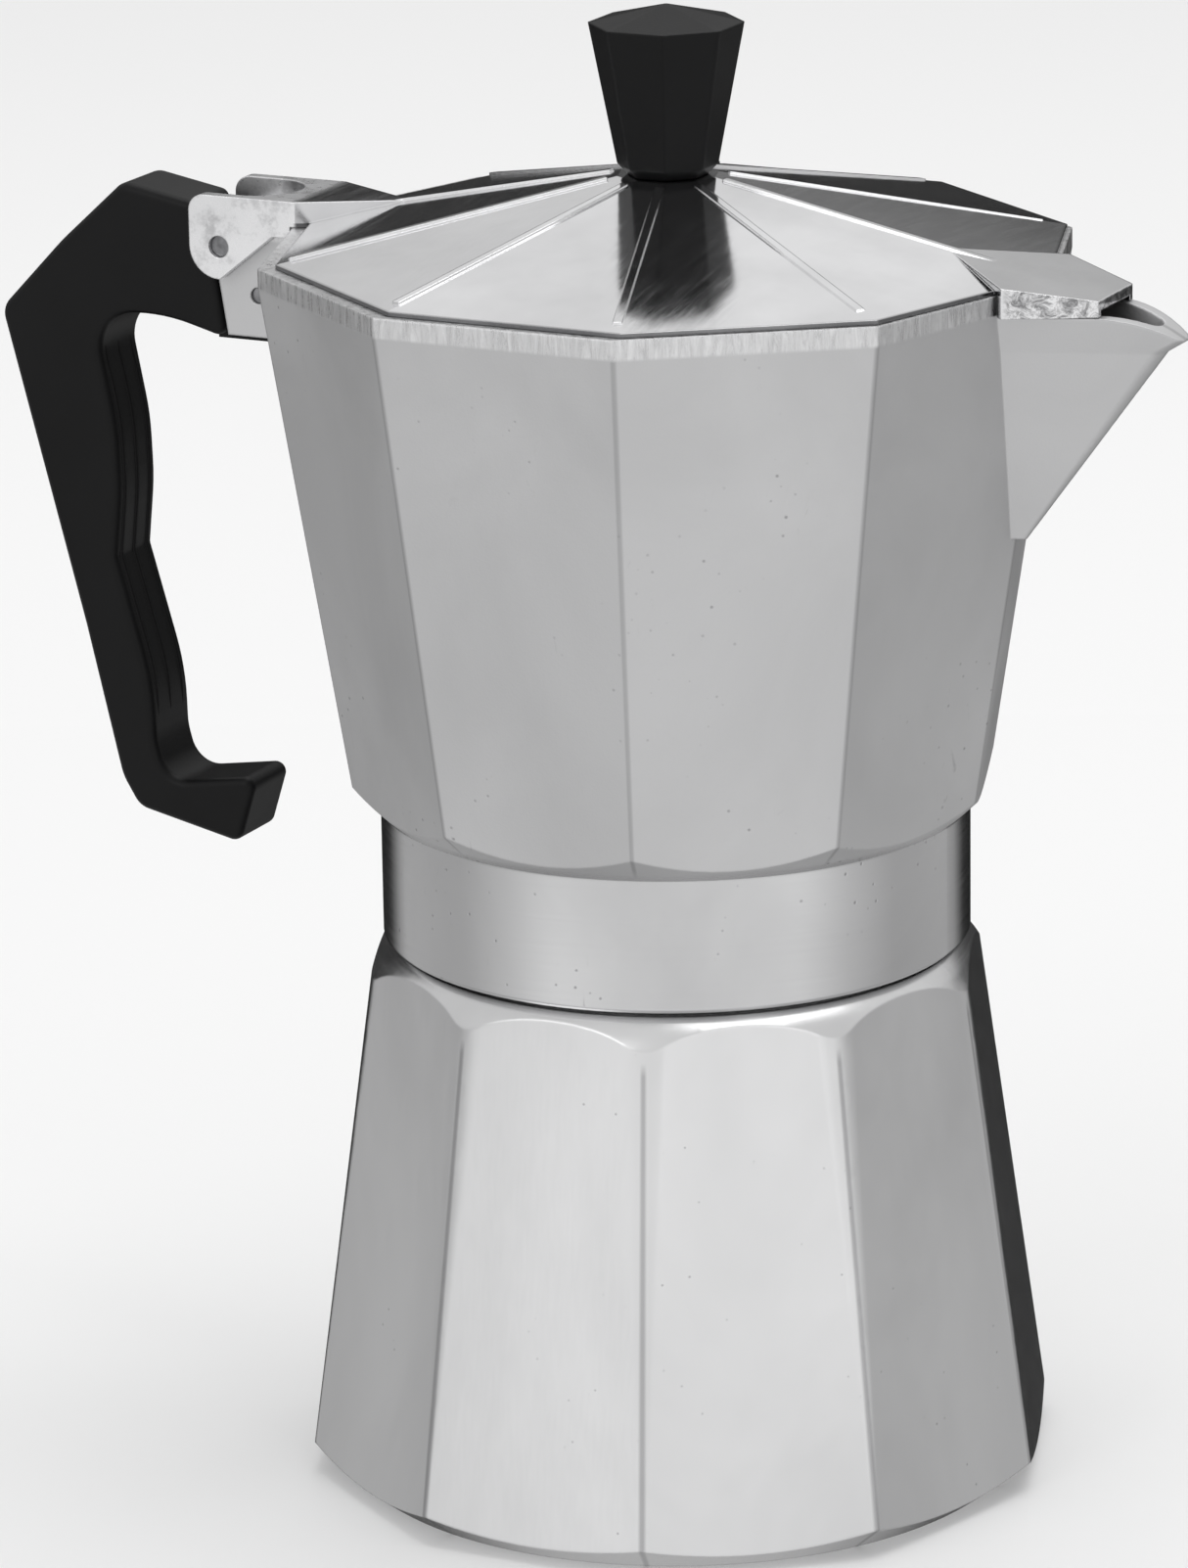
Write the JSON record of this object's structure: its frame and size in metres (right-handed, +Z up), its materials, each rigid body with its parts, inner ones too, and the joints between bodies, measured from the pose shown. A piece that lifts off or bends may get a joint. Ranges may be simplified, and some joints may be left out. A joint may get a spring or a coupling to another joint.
{
  "type": "moka pot",
  "caption": "Ten-sided stove-top moka pot with a screwed-on collector, hinged lid, hooked handle and inner funnel.",
  "frame": {"origin": "centre of the flat base, at its bottom face", "axes": "+Z up, +X towards the spout, -X towards the handle, +Y towards the safety valve"},
  "size_m": [0.1893, 0.1142, 0.22],
  "materials": {
    "cast_body": "satin cast",
    "polished_body": "polished",
    "lid_metal": "mirror polished",
    "inner_metal": "matte",
    "valve_brass": "turned",
    "steel_pin": "bare",
    "seal_rubber": "soft",
    "grip_plastic": "satin moulded"
  },
  "bodies": {
    "boiler": {"boiler": "polished_body", "valve_body": "valve_brass", "valve_seal": "seal_rubber", "valve_retainer": "valve_brass", "valve_spring": "steel_pin"},
    "valve_plunger": {"valve_plunger": "valve_brass"},
    "funnel": {"funnel_basket": "inner_metal", "funnel_tube": "inner_metal", "funnel_plate": "inner_metal"},
    "collector": {"collector": "cast_body", "gasket": "seal_rubber", "filter_plate": "inner_metal", "riser_column": "inner_metal", "riser_cap": "inner_metal", "handle": "grip_plastic", "handle_pin": "steel_pin", "hinge_pin": "steel_pin"},
    "lid": {"lid": "lid_metal", "knob": "grip_plastic", "knob_insert": "valve_brass", "knob_screw": "steel_pin", "knob_washer": "steel_pin"}
  },
  "joints": [
    {"name": "collector_turn", "type": "hinge", "parent": "boiler", "child": "funnel", "pos_m": [0, 0, 0], "axis": [0, 0, 1], "range_deg": [0, 720]},
    {"name": "collector_rise", "type": "slide", "parent": "funnel", "child": "collector", "axis": [0, 0, 1], "range_m": [0, 0.00801]},
    {"name": "lid_hinge", "type": "hinge", "parent": "collector", "child": "lid", "pos_m": [-0.0699, 0, 0.1804], "axis": [0, -1, 0], "range_deg": [0, 88]},
    {"name": "valve_lift", "type": "slide", "parent": "boiler", "child": "valve_plunger", "axis": [0, 1, 0], "range_m": [0, 0.0015], "stiffness_N_per_m": 1500, "springref_m": -0.0033, "deforming": ["valve_spring"]}
  ],
  "couplings": [
    {"joint": "collector_rise", "follows": "collector_turn", "m_per_rad": 0.00063662}
  ]
}
